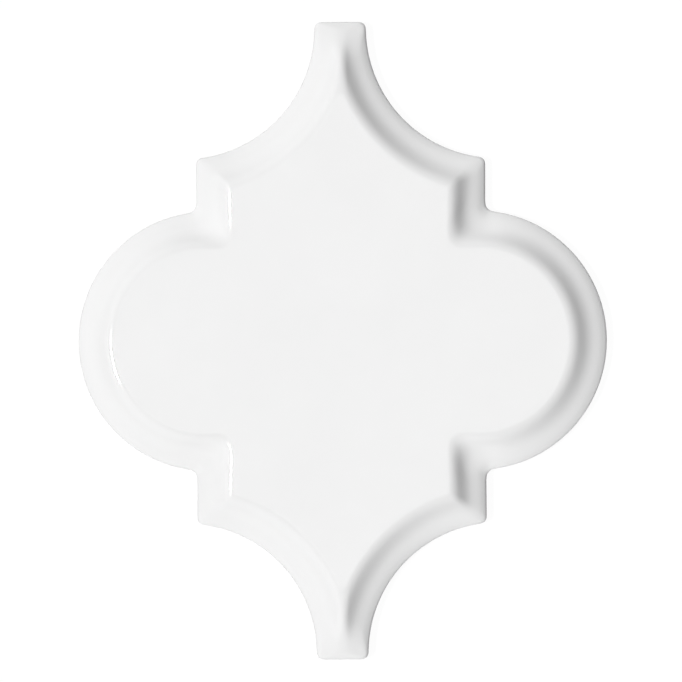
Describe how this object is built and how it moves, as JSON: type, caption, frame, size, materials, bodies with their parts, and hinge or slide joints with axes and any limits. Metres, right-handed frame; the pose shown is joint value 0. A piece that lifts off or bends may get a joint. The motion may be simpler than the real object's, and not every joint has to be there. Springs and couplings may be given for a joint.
{
  "type": "moroccan arabesque tile",
  "caption": "Glazed ceramic wall tile in an arabesque (lantern) outline, with round lobes, narrow necks and a pillowed bevel round a flat field; interlocks with like tiles.",
  "frame": {"origin": "middle of the flat back face", "axes": "+Z out of the glazed face, +Y along the tile from neck to neck, +X across the lobes"},
  "size_m": [0.1244, 0.15, 0.0085],
  "materials": {
    "glazed_body": "glossy white glaze over a pale fired body; back left bare"
  },
  "bodies": {
    "root": {"arabesque_tile": "glazed_body"}
  },
  "joints": []
}
